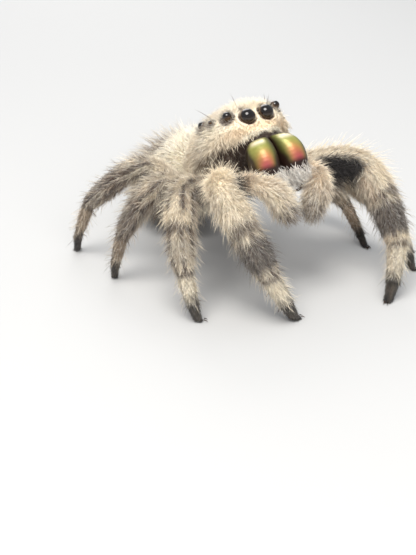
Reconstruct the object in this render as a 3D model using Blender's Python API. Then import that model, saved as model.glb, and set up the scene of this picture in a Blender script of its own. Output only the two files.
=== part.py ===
"""Jumping spider, a still life-size model: rearing stance, cephalothorax raised, abdomen low, eight feet on one floor.

+Z is up. The spider faces -Y, so its left side is +X and its right side is -X. Its meshes are in mm, and all of them
hang from one empty that brings them to metres.
The cephalothorax is laid out level about its hub, the middle of the ring of hips, and then tipped nose up.
Each leg and palp is one smooth tapered tube, parted at its joints by thin cuts.
"""

import math

import bmesh
import bpy
from mathutils import Matrix, Vector

MM = 0.001

# Driving dimensions, in mm unless named otherwise
CUT = 0.04  # gap between neighbouring pieces
HUB_HEIGHT = 4.11  # hips' centre above the floor
BODY_PITCH = math.radians(33)  # nose up
BODY_ROLL = math.radians(2)  # left side up
ABDOMEN_PITCH = math.radians(24)  # rear end down
ABDOMEN_HALF_WIDTH = 2.45
LEG_SCALE = 0.90  # of the lengths in SEGMENTS
LEG_SIDES = 10
BODY_SIDES = 20
TUCK = 0.38  # how much narrower the cephalothorax is underneath

# Cephalothorax outline, level: y (forward is negative), half width, top, level of the greatest width, underside, and
# rake, the share by which higher points lie further back
PROSOMA = [
    (-3.42, 0.80, 2.38, 1.90, 1.42, 0.30),
    (-3.30, 1.18, 2.70, 1.92, 1.28, 0.30),
    (-3.10, 1.46, 2.92, 1.94, 1.02, 0.28),
    (-2.80, 1.76, 3.06, 1.82, 0.74, 0.20),
    (-2.40, 2.02, 3.18, 1.62, 0.40, 0.14),
    (-1.90, 2.24, 3.28, 1.40, 0.02, 0.08),
    (-1.10, 2.42, 3.32, 1.12, -0.34, 0.03),
    (0.00, 2.46, 3.08, 0.94, -0.48, 0.0),
    (0.80, 2.30, 2.60, 0.86, -0.48, 0.0),
    (1.50, 1.78, 1.92, 0.68, -0.42, 0.0),
    (2.00, 1.26, 1.26, 0.50, -0.30, 0.0),
    (2.35, 0.80, 0.76, 0.30, -0.16, 0.0),
    (2.60, 0.46, 0.56, 0.20, -0.16, 0.0),
    (2.90, 0.40, 0.50, 0.18, -0.16, 0.0),
]
PEDICEL_END = (0.0, 2.90, 0.18)

# Abdomen outline, along its own axis: distance behind the waist, half width as a share of the greatest, top, underside
ABDOMEN = [
    (-0.62, 0.20, 2.45, 1.60),
    (-0.50, 0.42, 2.76, 1.10),
    (-0.25, 0.64, 2.96, 0.66),
    (0.00, 0.76, 3.08, 0.42),
    (0.12, 0.80, 3.12, -0.50),
    (0.80, 0.94, 3.22, -0.96),
    (1.90, 1.00, 3.20, -1.16),
    (3.10, 0.98, 3.02, -1.12),
    (4.20, 0.86, 2.70, -0.86),
    (5.10, 0.66, 2.20, -0.46),
    (5.80, 0.42, 1.56, -0.02),
    (6.10, 0.20, 1.02, 0.28),
]

# Eyes of the left side, level: centre and radius
EYES = {
    "front_middle": ((0.49, -3.25, 2.29), 0.36),
    "front_side": ((1.30, -2.93, 2.56), 0.21),
    "rear_middle": ((1.74, -2.12, 2.62), 0.085),
    "rear_side": ((1.72, -1.34, 2.70), 0.20),
}

# Chelicera, down its length: depth below the top, half width, half depth, and its centre's place out and forward
CHELICERA = [
    (0.00, 0.26, 0.26, 0.36, 0.20),
    (0.09, 0.42, 0.46, 0.49, 0.24),
    (0.28, 0.55, 0.62, 0.61, 0.33),
    (0.60, 0.63, 0.75, 0.69, 0.42),
    (1.05, 0.66, 0.80, 0.73, 0.48),
    (1.55, 0.60, 0.70, 0.74, 0.52),
    (2.00, 0.48, 0.50, 0.75, 0.50),
    (2.20, 0.32, 0.32, 0.75, 0.46),
]
CHELICERA_TOP = (-3.20, 1.18)  # back and up
FANG_ARC = math.radians(115)
FANG_BEND = 0.42  # radius of its curve
FANG_THICK = 0.17  # radius at its root

# Legs: femur with trochanter, patella, tibia, metatarsus, tarsus
SEGMENT_NAMES = ("femur", "patella", "tibia", "metatarsus", "tarsus")
SEGMENTS = {
    1: (4.0, 2.1, 2.6, 1.9, 1.3),
    2: (3.5, 1.8, 2.0, 1.7, 1.2),
    3: (3.4, 1.5, 2.0, 2.0, 1.2),
    4: (3.6, 1.6, 2.5, 2.6, 1.3),
}
# Radius of the coated leg at each segment's start, middle and end, for leg 1
GIRTH = {
    "femur": (0.46, 0.70, 0.68),
    "patella": (0.70, 0.76, 0.70),
    "tibia": (0.68, 0.72, 0.58),
    "metatarsus": (0.54, 0.51, 0.42),
    "tarsus": (0.39, 0.32, 0.27),
}
RINGS = {"femur": 8, "patella": 5, "tibia": 6, "metatarsus": 5, "tarsus": 5}
GIRTH_OF = {1: 1.0, 2: 0.90, 3: 0.74, 4: 0.74}
THINNEST = 0.25  # least radius of a leg
# Hips of the left side, level, about the hub, and the radius of the coxa
HIPS = {1: (1.56, -1.46, -0.10), 2: (1.92, -0.52, -0.10), 3: (1.96, 0.58, -0.06), 4: (1.74, 1.66, 0.02)}
COXA_GIRTH = 0.48
COXA_ROOT = 0.55  # share of the way out to the hip at which it leaves the body

# Stance of each leg: foot on the floor (x, y), lean of its arch in degrees (towards the head is positive), and how its
# bend is shared between the knee, the patella's end, the tibia's end and the metatarsus's end
STANCE = {
    ("right", 1): ((-1.15, -6.35), -42, (0.70, 0.11, 0.11, 0.08)),
    ("right", 2): ((-4.88, -4.25), -21, (0.62, 0.13, 0.18, 0.07)),
    ("right", 3): ((-6.02, 1.52), 27, (0.66, 0.12, 0.14, 0.08)),
    ("right", 4): ((-6.20, 5.18), 25, (0.63, 0.07, 0.21, 0.09)),
    ("left", 1): ((3.22, -7.30), -32, (0.55, 0.16, 0.21, 0.08)),
    ("left", 2): ((6.42, -5.52), -20, (0.49, 0.13, 0.28, 0.10)),
    ("left", 3): ((6.15, -2.42), -70, (0.52, 0.14, 0.27, 0.07)),
    ("left", 4): ((5.60, 5.80), -12, (0.50, 0.10, 0.28, 0.12)),
}
TOE_PAST_FLOOR = 0.12  # how far the foot's end would reach below the floor, cut off flat

# Joints of each palp, level, from its root to its tip, and the radius at each; x is out from the middle
PALP = {
    "left": [
        ((1.02, -2.42, -0.48), 0.30),
        ((1.74, -3.30, -0.66), 0.34),
        ((1.68, -3.86, -1.05), 0.40),
        ((1.20, -4.20, -1.70), 0.57),
        ((0.62, -3.76, -2.78), 0.44),
    ],
    "right": [
        ((1.02, -2.42, -0.48), 0.30),
        ((1.76, -3.50, -0.62), 0.34),
        ((1.64, -4.28, -0.92), 0.40),
        ((1.10, -4.60, -1.50), 0.57),
        ((0.62, -4.00, -2.60), 0.44),
    ],
}

COLOURS = {
    "cream_coat": ((0.72, 0.62, 0.46), 0.85, 0.0),
    "leg_coat": ((0.55, 0.48, 0.40), 0.85, 0.0),
    "foot_coat": ((0.05, 0.045, 0.04), 0.80, 0.0),
    "eye": ((0.010, 0.008, 0.008), 0.08, 0.0),
    "green_metal": ((0.20, 0.30, 0.08), 0.25, 0.9),
    "dark_horn": ((0.03, 0.02, 0.015), 0.30, 0.0),
}


def clear_scene():
    for item in list(bpy.data.objects):
        bpy.data.objects.remove(item)


def material(name):
    found = bpy.data.materials.get(name)
    if found:
        return found
    colour, roughness, metallic = COLOURS[name]
    made = bpy.data.materials.new(name)
    made.use_nodes = True
    shader = made.node_tree.nodes["Principled BSDF"]
    shader.inputs["Base Color"].default_value = (*colour, 1.0)
    shader.inputs["Roughness"].default_value = roughness
    shader.inputs["Metallic"].default_value = metallic
    return made


def add_mesh(name, work, finish, parent=None):
    bmesh.ops.recalc_face_normals(work, faces=work.faces)
    mesh = bpy.data.meshes.new(name)
    work.to_mesh(mesh)
    work.free()
    mesh.shade_smooth()
    mesh.materials.append(material(finish))
    item = bpy.data.objects.new(name, mesh)
    item.parent = parent or bpy.data.objects["spider"]
    bpy.context.collection.objects.link(item)
    return item


def add_empty(name, place, turn, parent=None):
    empty = bpy.data.objects.new(name, None)
    empty.location = place
    empty.rotation_euler = turn
    empty.parent = parent
    bpy.context.collection.objects.link(empty)
    return empty


def loft(rings):
    """A closed bmesh through rings of equal size, with a flat cap at each end."""
    work = bmesh.new()
    rows = [[work.verts.new(point) for point in ring] for ring in rings]
    for row, following in zip(rows, rows[1:]):
        for i in range(len(row)):
            j = (i + 1) % len(row)
            work.faces.new((row[i], row[j], following[j], following[i]))
    work.faces.new(reversed(rows[0]))
    work.faces.new(rows[-1])
    return work


def egg_ring(y, half_width, top, middle, under, rake=None):
    """One cross-section: an ellipse quarter on each side, above and below the level of the greatest width."""
    ring = []
    tuck = TUCK if rake is not None else 0.0
    for i in range(BODY_SIDES):
        angle = 2 * math.pi * i / BODY_SIDES
        reach = top - middle if math.sin(angle) > 0 else middle - under
        height = reach * math.sin(angle)
        narrowed = half_width * (1 + tuck * min(0.0, math.sin(angle)))
        ring.append((narrowed * math.cos(angle), y + (rake or 0.0) * height, middle + height))
    return ring


def ball(centre, radius, segments=12):
    work = bmesh.new()
    bmesh.ops.create_uvsphere(work, u_segments=segments, v_segments=segments // 2, radius=radius)
    bmesh.ops.translate(work, vec=centre, verts=work.verts)
    return work


def frame_along(direction):
    """Two axes across a direction, the second as near upright as it can be."""
    upright = Vector((0, 0, 1)) if abs(direction.z) < 0.98 else Vector((0, 1, 0))
    across = direction.cross(upright).normalized()
    return across, across.cross(direction).normalized()


def rounded_route(corners, reach):
    """Points along straight runs whose corners are rounded; reach is how far each rounding starts from its corner."""
    points = [corners[0]]
    for before, corner, after, far in zip(corners, corners[1:], corners[2:], reach):
        start = corner + (before - corner).normalized() * far
        end = corner + (after - corner).normalized() * far
        for i in range(7):
            t = i / 6
            points.append(start * (1 - t) ** 2 + corner * 2 * t * (1 - t) + end * t * t)
    points.append(corners[-1])
    return points


class Route:
    """A smooth line read by the distance along it."""

    def __init__(self, points):
        self.points = points
        self.marks = [0.0]
        for a, b in zip(points, points[1:]):
            self.marks.append(self.marks[-1] + (b - a).length)
        self.length = self.marks[-1]

    def at(self, distance):
        distance = min(max(distance, 0.0), self.length)
        for i in range(1, len(self.marks)):
            if distance <= self.marks[i]:
                share = (distance - self.marks[i - 1]) / (self.marks[i] - self.marks[i - 1])
                return self.points[i - 1].lerp(self.points[i], share)
        return self.points[-1]

    def heading(self, distance, step=0.12):
        ends = self.at(distance - step), self.at(distance + step)
        return (ends[1] - ends[0]).normalized()

    def nearest(self, place):
        """Distance along the route of its point nearest to place."""
        count = 400
        return min((self.length * i / count for i in range(count + 1)), key=lambda d: (self.at(d) - place).length)


def tube(route, start, end, girth, rings, sides=LEG_SIDES, round_end=False):
    """A tapered tube round the route from start to end. girth gives the radius at a share of that stretch."""
    made = []
    for i in range(rings):
        share = i / (rings - 1)
        distance = start + (end - start) * share
        centre = route.at(distance)
        across, upright = frame_along(route.heading(distance))
        radius = girth(share)
        if round_end and i == rings - 1:
            radius *= 0.6
        made.append([
            centre + (across * math.cos(a) + upright * math.sin(a)) * radius
            for a in (2 * math.pi * k / sides for k in range(sides))
        ])
    return loft(made)


def through(values):
    """A function of 0 to 1 that runs smoothly through the first, middle and last value."""
    first, middle, last = values
    return lambda t: first * (1 - t) * (1 - 2 * t) + middle * 4 * t * (1 - t) + last * t * (2 * t - 1)


def tipped(place):
    """Where a point of the level cephalothorax lies once it is tipped, in mm above the floor."""
    return HUB @ Vector(place)


def leg_points(hip, foot, lengths, shares, lean):
    """Joints from hip to toe. The bends grow together until the leg spans from hip to foot; lean turns the arch."""
    def arch(total):
        points, angle = [Vector((0, 0))], 0.0
        for length, share in zip(lengths, (0.0, *shares)):
            angle -= share * total
            points.append(points[-1] + Vector((math.cos(angle), math.sin(angle))) * length)
        return points

    span = (foot - hip).length
    low, high = 0.0, 4.2
    for _ in range(50):
        middle = (low + high) / 2
        low, high = (middle, high) if arch(middle)[-1].length > span else (low, middle)
    points = arch(middle)
    forward = (foot - hip).normalized()
    upright = (Vector((0, 0, 1)) - forward * forward.z).normalized()
    aside = forward.cross(upright)
    rise = upright * math.cos(lean) + aside * math.sin(lean)
    chord = points[-1].normalized()
    return [
        hip + forward * point.dot(chord) + rise * (point.y * chord.x - point.x * chord.y)
        for point in points
    ]


def flatten_sole(work):
    """Cuts off what is below the floor."""
    everything = work.verts[:] + work.edges[:] + work.faces[:]
    cut = bmesh.ops.bisect_plane(
        work, geom=everything, dist=1e-5, plane_co=(0, 0, 0), plane_no=(0, 0, -1), clear_outer=True
    )
    edges = [part for part in cut["geom_cut"] if isinstance(part, bmesh.types.BMEdge)]
    bmesh.ops.contextual_create(work, geom=edges)


def leg_route(side, number):
    """The leg's middle line from inside the body to the toe, and the marks on it of the hip and each later joint."""
    foot, lean, shares = STANCE[side, number]
    mirror = 1 if side == "left" else -1
    x, y, z = HIPS[number]
    hip = tipped((x * mirror, y, z))
    root = tipped((x * COXA_ROOT * mirror, y * 0.8, z))
    lengths = [length * LEG_SCALE for length in SEGMENTS[number]]
    toe = Vector((*foot, -TOE_PAST_FLOOR))
    joints = leg_points(hip, toe, lengths, shares, math.radians(lean) * mirror)
    route = Route(rounded_route([root, *joints], (0.42, 0.75, 0.45, 0.45, 0.35)))
    return route, [*(route.nearest(joint) for joint in joints[:-1]), route.length]


def build_leg(side, number):
    route, ends = leg_route(side, number)
    for name, start, end in zip(SEGMENT_NAMES, ends, ends[1:]):
        radii = [max(radius * GIRTH_OF[number], THINNEST) for radius in GIRTH[name]]
        last = name == "tarsus"
        work = tube(route, start + CUT, end, through(radii), RINGS[name])
        if last:
            flatten_sole(work)
        finish = "foot_coat" if last else "leg_coat"
        add_mesh(f"{side}_leg_{number}_{name}", work, finish)


def coxa_mesh(side, number):
    route, ends = leg_route(side, number)
    start = GIRTH["femur"][0] * GIRTH_OF[number]
    return tube(route, 0.0, ends[0], through((COXA_GIRTH, COXA_GIRTH, max(start, COXA_GIRTH * 0.9))), 4)


def build_palp(side):
    mirror = 1 if side == "left" else -1
    corners = [tipped((x * mirror, y, z)) for (x, y, z), _ in PALP[side]]
    radii = [radius for _, radius in PALP[side]]
    route = Route(rounded_route(corners, (0.3, 0.3, 0.3)))
    knee = route.nearest(corners[2])
    marks = [route.nearest(corner) for corner in corners]

    def girth(distance):
        for a, b, low, high in zip(marks, marks[1:], radii, radii[1:]):
            if distance <= b:
                return low + (high - low) * max(0.0, distance - a) / (b - a)
        return radii[-1]

    for name, start, end in (("upper", 0.0, knee), ("lower", knee + CUT, route.length)):
        profile = lambda share, start=start, end=end: girth(start + (end - start) * share)
        work = tube(route, start, end, profile, 7, round_end=name == "lower")
        add_mesh(f"{side}_palp_{name}", work, "cream_coat")


def chelicera_mesh(mirror, grow=0.0):
    y, z = CHELICERA_TOP
    rings = []
    for below, half_width, half_depth, outward, forward in CHELICERA:
        below += grow * (1 if below > 1 else -1)
        centre_x = outward * mirror
        rings.append([
            (
                centre_x + (half_width + grow) * math.cos(a),
                y - forward + (half_depth + grow) * math.sin(a),
                z - below,
            )
            for a in (2 * math.pi * k / 14 for k in range(14))
        ])
    return loft(rings)


def fang_mesh(mirror):
    """A hooked cone, folded inwards under the chelicera."""
    y, z = CHELICERA_TOP
    below, _, _, outward, forward = CHELICERA[-1]
    root = Vector(((outward + 0.20) * mirror, y - forward + 0.10, z - below - 0.04))
    rings = []
    for i in range(7):
        share = i / 6
        angle = FANG_ARC * share
        centre = root + Vector((-(1 - math.cos(angle)) * mirror, 0.12 * share, -math.sin(angle))) * FANG_BEND
        along = Vector((-math.sin(angle) * mirror, 0.0, -math.cos(angle)))
        across = Vector((0, 1, 0))
        other = along.cross(across)
        radius = FANG_THICK * (1 - 0.86 * share)
        rings.append([
            centre + (across * math.cos(a) + other * math.sin(a)) * radius
            for a in (2 * math.pi * k / 8 for k in range(8))
        ])
    return loft(rings)


def boolean(target, cutter, operation):
    modifier = target.modifiers.new(operation.title(), "BOOLEAN")
    modifier.operation = operation
    modifier.object = cutter
    modifier.solver = "EXACT"
    cutter.hide_render = True
    cutter.display_type = "WIRE"


def build_cephalothorax(parent):
    body = add_mesh("cephalothorax", loft([egg_ring(*station) for station in PROSOMA]), "cream_coat", parent)
    sides = (("left", 1), ("right", -1))
    for side, mirror in sides:
        for name, (centre, radius) in EYES.items():
            place = (centre[0] * mirror, centre[1], centre[2])
            socket = ball(place, radius + 0.03, 12 if radius > 0.1 else 8)
            boolean(body, add_mesh("socket_helper", socket, "eye", parent), "DIFFERENCE")
    for side, mirror in sides:
        lobe = ball((0, 0, 0), 1.0)
        bmesh.ops.scale(lobe, vec=(0.41, 0.52, 0.60), verts=lobe.verts)
        bmesh.ops.translate(lobe, vec=(0.53 * mirror, -1.83, -0.37), verts=lobe.verts)
        boolean(body, add_mesh("mouth_lobe_helper", lobe, "dark_horn", parent), "UNION")
    for side, mirror in sides:
        for number in HIPS:
            boolean(body, add_mesh("coxa_helper", coxa_mesh(side, number), "leg_coat"), "UNION")
    for side, mirror in sides:
        pocket = chelicera_mesh(mirror, grow=0.04)
        boolean(body, add_mesh("pocket_helper", pocket, "dark_horn", parent), "DIFFERENCE")
    return body


def build_face(parent):
    for side, mirror in (("left", 1), ("right", -1)):
        for name, (centre, radius) in EYES.items():
            place = (centre[0] * mirror, centre[1], centre[2])
            lens = ball(place, radius, 14 if radius > 0.3 else 12 if radius > 0.1 else 8)
            add_mesh(f"{side}_{name}_eye", lens, "eye", parent)
        add_mesh(f"{side}_chelicera", chelicera_mesh(mirror), "green_metal", parent)
        add_mesh(f"{side}_fang", fang_mesh(mirror), "dark_horn", parent)


def build_abdomen(parent):
    rings = []
    for y, width, top, under in ABDOMEN:
        rings.append(egg_ring(y, width * ABDOMEN_HALF_WIDTH, top, (top + under) / 2, under))
    add_mesh("abdomen", loft(rings), "cream_coat", parent)


def finger(x, z, length, radius):
    """One spinneret, from inside their shared base to its tip."""
    root = ABDOMEN[-1][0] + 0.05
    route = Route([Vector((x, root, z)), Vector((x * 1.5, root + length, z * 1.2 - 0.05))])
    return tube(route, 0.0, route.length, through((radius, radius * 0.9, radius * 0.6)), 3, sides=6)


def build_spinnerets(parent):
    under, top = ABDOMEN[-1][3], ABDOMEN[-1][2]
    middle = (top + under) / 2
    rings = []
    for step, size in ((0.05, 0.36), (0.16, 0.34), (0.24, 0.26)):
        rings.append([
            (size * math.cos(a), ABDOMEN[-1][0] + step, middle + size * 0.8 * math.sin(a))
            for a in (2 * math.pi * k / 8 for k in range(8))
        ])
    base = add_mesh("spinnerets", loft(rings), "dark_horn", parent)
    for x in (0.14, -0.14):
        for height, length in ((0.13, 0.50), (-0.13, 0.42)):
            helper = add_mesh("spinneret_helper", finger(x, middle + height, length, 0.10), "dark_horn", parent)
            boolean(base, helper, "UNION")


def centre_on_floor(top):
    """Moves everything so that the origin lies under the middle of the whole spider."""
    bpy.context.view_layer.update()
    graph = bpy.context.evaluated_depsgraph_get()
    reach = []
    for item in bpy.data.objects:
        if item.type == "MESH" and not item.hide_render:
            body = item.evaluated_get(graph)
            reach += [body.matrix_world @ corner.co for corner in body.data.vertices]
    for axis in (0, 1):
        along = [point[axis] for point in reach]
        top.location[axis] = -(min(along) + max(along)) / 2


HUB = Matrix.Translation((0, 0, HUB_HEIGHT)) @ Matrix.Rotation(-BODY_ROLL, 4, "Y") @ Matrix.Rotation(-BODY_PITCH, 4, "X")


def main():
    clear_scene()
    top = add_empty("spider", (0, 0, 0), (0, 0, 0))
    top.scale = (MM, MM, MM)
    hub = add_empty("hub", HUB.to_translation(), HUB.to_euler(), top)
    build_cephalothorax(hub)
    build_face(hub)
    waist = tipped(PEDICEL_END) + Vector((0, CUT, 0))
    rear = add_empty("waist", waist, (-ABDOMEN_PITCH, 0, 0), top)
    build_abdomen(rear)
    build_spinnerets(rear)
    for side in ("right", "left"):
        for number in SEGMENTS:
            build_leg(side, number)
        build_palp(side)
    centre_on_floor(top)


main()
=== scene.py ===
# Jumping spider, life size, standing with its head raised.
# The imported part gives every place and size. This script adds skin, coat, eyes, jaws, claws and light.
import math
import time

import bmesh
import bpy
import numpy as np
from mathutils import Matrix, Vector
from mathutils.bvhtree import BVHTree


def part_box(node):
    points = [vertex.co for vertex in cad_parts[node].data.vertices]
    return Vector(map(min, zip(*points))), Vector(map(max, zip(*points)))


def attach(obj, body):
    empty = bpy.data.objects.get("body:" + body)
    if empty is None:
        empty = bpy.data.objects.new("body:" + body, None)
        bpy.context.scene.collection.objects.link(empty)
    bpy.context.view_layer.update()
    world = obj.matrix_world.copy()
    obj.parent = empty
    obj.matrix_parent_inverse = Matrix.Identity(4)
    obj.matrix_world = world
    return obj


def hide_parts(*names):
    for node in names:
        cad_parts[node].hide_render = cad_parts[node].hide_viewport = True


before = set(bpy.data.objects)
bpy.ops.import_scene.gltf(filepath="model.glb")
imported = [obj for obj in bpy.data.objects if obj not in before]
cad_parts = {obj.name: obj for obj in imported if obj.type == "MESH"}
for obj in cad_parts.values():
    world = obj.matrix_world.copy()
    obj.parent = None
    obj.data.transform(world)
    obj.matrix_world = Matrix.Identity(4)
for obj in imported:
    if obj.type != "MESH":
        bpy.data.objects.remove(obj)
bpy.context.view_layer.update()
started = time.time()
mm = 0.001  # everything below is worked out in millimetres and made in metres
sides = ("left", "right")
segmentNames = ("femur", "patella", "tibia", "metatarsus", "tarsus")
eyeNames = ("front_middle", "front_side", "rear_middle", "rear_side")


def report(stage):
    print(f"[{time.time() - started:6.1f} s] {stage}")


# Small helpers on arrays of points

def unit(vectors):
    return vectors / np.maximum(np.linalg.norm(vectors, axis=-1, keepdims=True), 1e-12)


def dot(a, b):
    return (a * b).sum(-1)


def sizeOf(vectors):
    return np.linalg.norm(vectors, axis=-1)


def held(value, most=1):
    return np.clip(value, 0, most)


def smooth(value, low, high):
    share = held((value - low) / (high - low))
    return share * share * (3 - 2 * share)


def hump(value, centre, width):
    return np.exp(-((value - centre) / width) ** 2)


def mix(colour, other, share):
    return colour + (np.asarray(other) - colour) * np.asarray(share)[:, None]


def noiseField(seed, size=4096, strides=(73856093, 19349663, 83492791)):
    # a smooth random field in space, from about -1 to 1
    table = np.random.default_rng(seed).uniform(-1, 1, size)

    def field(points, grain):
        cell = points / grain
        base = np.floor(cell).astype(np.int64)
        part = cell - base
        part = part * part * (3 - 2 * part)
        total = np.zeros(len(points))
        for corner in range(8):
            step = np.array([(corner >> k) & 1 for k in range(3)])
            x, y, z = ((base + step) * strides).T
            total += np.where(step, part, 1 - part).prod(1) * table[(x ^ y ^ z) % size]
        return total

    return field


cloud = noiseField(3)
speckle = noiseField(8)


# Small helpers on meshes

def readArray(items, key, width, kind=float):
    values = np.empty(len(items) * width, kind)
    items.foreach_get(key, values)
    return values.reshape(-1, width)


def arraysOf(mesh):
    return readArray(mesh.vertices, "co", 3), readArray(mesh.edges, "vertices", 2, np.int32)


def normalsOf(mesh):
    return readArray(mesh.vertex_normals, "vector", 3)


def movePoints(mesh, points):
    mesh.vertices.foreach_set("co", points.ravel())
    mesh.update()


def editedMesh(name, points, faces, edit):
    # a mesh with one edit made to the whole of it
    mesh = bpy.data.meshes.new(name)
    mesh.from_pydata(points, [], faces)
    work = bmesh.new()
    work.from_mesh(mesh)
    edit(work)
    work.to_mesh(mesh)
    work.free()
    return mesh


def placed(name, data):
    item = bpy.data.objects.new(name, data)
    bpy.context.collection.objects.link(item)
    return item


def closedMesh(name, points, faces):
    # a mesh in metres from points in mm, its faces all turned outwards
    mesh = editedMesh(name, [Vector(p) * mm for p in points], faces,
                      lambda work: bmesh.ops.recalc_face_normals(work, faces=work.faces))
    mesh.shade_smooth()
    return mesh


def ringPoints(centre, aside, over, out, rounds):
    turns = [2 * math.pi * k / rounds for k in range(rounds)]
    return [centre + (aside * math.cos(a) + over * math.sin(a)) * out for a in turns]


def ringPairs(start, rounds):
    # each point of a ring with the next one round it
    return [(start + k, start + (k + 1) % rounds) for k in range(rounds)]


def tubeFaces(start, rings, rounds):
    # the faces between rings of points that follow one another
    return [[a, b, b + rounds, a + rounds]
            for ring in range(rings - 1) for a, b in ringPairs(start + ring * rounds, rounds)]


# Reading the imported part

def nodeMesh(name):
    # points in mm and the corners of each face
    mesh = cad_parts[name].data
    return readArray(mesh.vertices, "co", 3) / mm, [list(face.vertices) for face in mesh.polygons]


def nodeTree(name):
    points, faces = nodeMesh(name)
    return BVHTree.FromPolygons([Vector(p) for p in points], faces)


def middleOf(name):
    low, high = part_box(name)
    return np.array((low + high) / 2) / mm


def soleOf(name):
    # the points of a foot that stand on the floor
    points = nodeMesh(name)[0]
    return points[points[:, 2] < 0.01]


def contact(first, second, slack=0.07):
    # points of two neighbouring nodes where they face each other across a cut
    pairs = []
    for a, b in ((first, second), (second, first)):
        tree = nodeTree(b)
        for point in nodeMesh(a)[0]:
            place, _, _, apart = tree.find_nearest(Vector(point))
            pairs.append((apart, point, np.array(place)))
    near = min(pair[0] for pair in pairs) + slack
    return np.array([place for apart, *both in pairs if apart < near for place in both])


# Axes of the head: the eyes give left, forward and up, and its origin lies between the front middle eyes
headShape = {"eyeRowRun": 1.91, "eyeRowDrop": 0.41}  # from the rear side eyes to the front ones, mm


def headAxes():
    front = [middleOf(f"{side}_front_middle_eye") for side in sides]
    rear = [middleOf(f"{side}_rear_side_eye") for side in sides]
    left = unit(front[0] - front[1])
    row = unit((front[0] + front[1]) / 2 - (rear[0] + rear[1]) / 2)
    over = unit(np.cross(row, left))
    run, drop = headShape["eyeRowRun"], headShape["eyeRowDrop"]
    forward = unit(run * row + drop * over)
    up = unit(run * over - drop * row)
    return (front[0] + front[1]) / 2, np.array([left, forward, up])


headOrigin, headTurn = headAxes()
abdomenShape = {"slopeDeg": 24}  # falls away to the rear


def abdomenAxes():
    slope = math.radians(abdomenShape["slopeDeg"])
    left = np.array([1.0, 0, 0])
    back = np.array([0, math.cos(slope), -math.sin(slope)])
    return contact("cephalothorax", "abdomen").mean(0), np.array([left, back, np.cross(left, back)])


abdomenOrigin, abdomenTurn = abdomenAxes()


def toHead(points):
    # left, forward and up of the eyes, in mm
    return (points - headOrigin) @ headTurn.T


def toAbdomen(points):
    # left, back along the abdomen and up, in mm
    return (points - abdomenOrigin) @ abdomenTurn.T


# The middle line of each limb runs through its joints and three places in each segment
spineShape = {"places": (0.25, 0.5, 0.75), "ring": 0.3, "leastRing": 0.13, "tip": 0.12}
stretches = len(spineShape["places"]) + 1  # to a segment


def limbSpine(nodes, side, onFoot):
    joints = [contact(a, b).mean(0) for a, b in zip(["cephalothorax", *nodes], nodes)]
    if onFoot:
        joints.append(soleOf(nodes[-1]).mean(0))
    else:
        last = nodeMesh(nodes[-1])[0]
        away = sizeOf(last - joints[-1])
        joints.append(last[away > away.max() - spineShape["tip"]].mean(0))
    line = [joints[0]]
    for name, a, b in zip(nodes, joints, joints[1:]):
        points = nodeMesh(name)[0]
        length = sizeOf(b - a)
        at = (points - a) @ (b - a) / length ** 2
        for t in spineShape["places"]:
            place = points[np.abs(at - t) < max(spineShape["leastRing"], spineShape["ring"] / length)].mean(0)
            place += (b - a) * (t - (place - a) @ (b - a) / length ** 2)
            line.append(place)
        line.append(b)
    line = np.array(line)
    marks = np.concatenate([[0], np.cumsum(sizeOf(np.diff(line, axis=0)))])
    heading = unit(np.gradient(line, marks, axis=0))
    sign = 1 if side == "left" else -1
    outward = line[-1] - line[0]
    front = unit(np.cross(line[stretches] - line[0], outward)) * sign
    if front @ (np.cross(outward, [0, 0, 1]) * sign) <= 0:
        front = -front
    front = unit(front - heading * (heading @ front)[:, None])
    return {"line": line, "marks": marks, "heading": heading, "front": front, "sign": sign}


limbs, limbNodes = [], {}


def addLimb(name, side, number, segments):
    nodes = [f"{name}_{segment}" for segment in segments]
    limbNodes.update({node: (len(limbs), segment) for segment, node in enumerate(nodes)})
    limbs.append({**limbSpine(nodes, side, number > 0), "number": number, "name": name, "nodes": nodes})


for side in sides:
    for number in (1, 2, 3, 4):
        addLimb(f"{side}_leg_{number}", side, number, segmentNames)
for side in sides:
    addLimb(f"{side}_palp", side, 0, ("upper", "lower"))
legs = [limb for limb in limbs if limb["number"]]
report("read the part's places")

bareNodes = [f"{side}_{eye}_eye" for side in sides for eye in eyeNames]
bareNodes += [f"{side}_chelicera" for side in sides]
fleshNodes = ["cephalothorax", "abdomen", *limbNodes]
sourceNodes = fleshNodes + bareNodes
# the limb and segment of every node, and the number and length of every limb, with a last row for no limb
nodeLimb, nodeSegment = np.array([limbNodes.get(name, (-1, 0)) for name in sourceNodes]).T
limbNumber = np.array([limb["number"] for limb in limbs] + [0])
limbLength = np.array([limb["marks"][-1] for limb in limbs] + [1.0])


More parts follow.
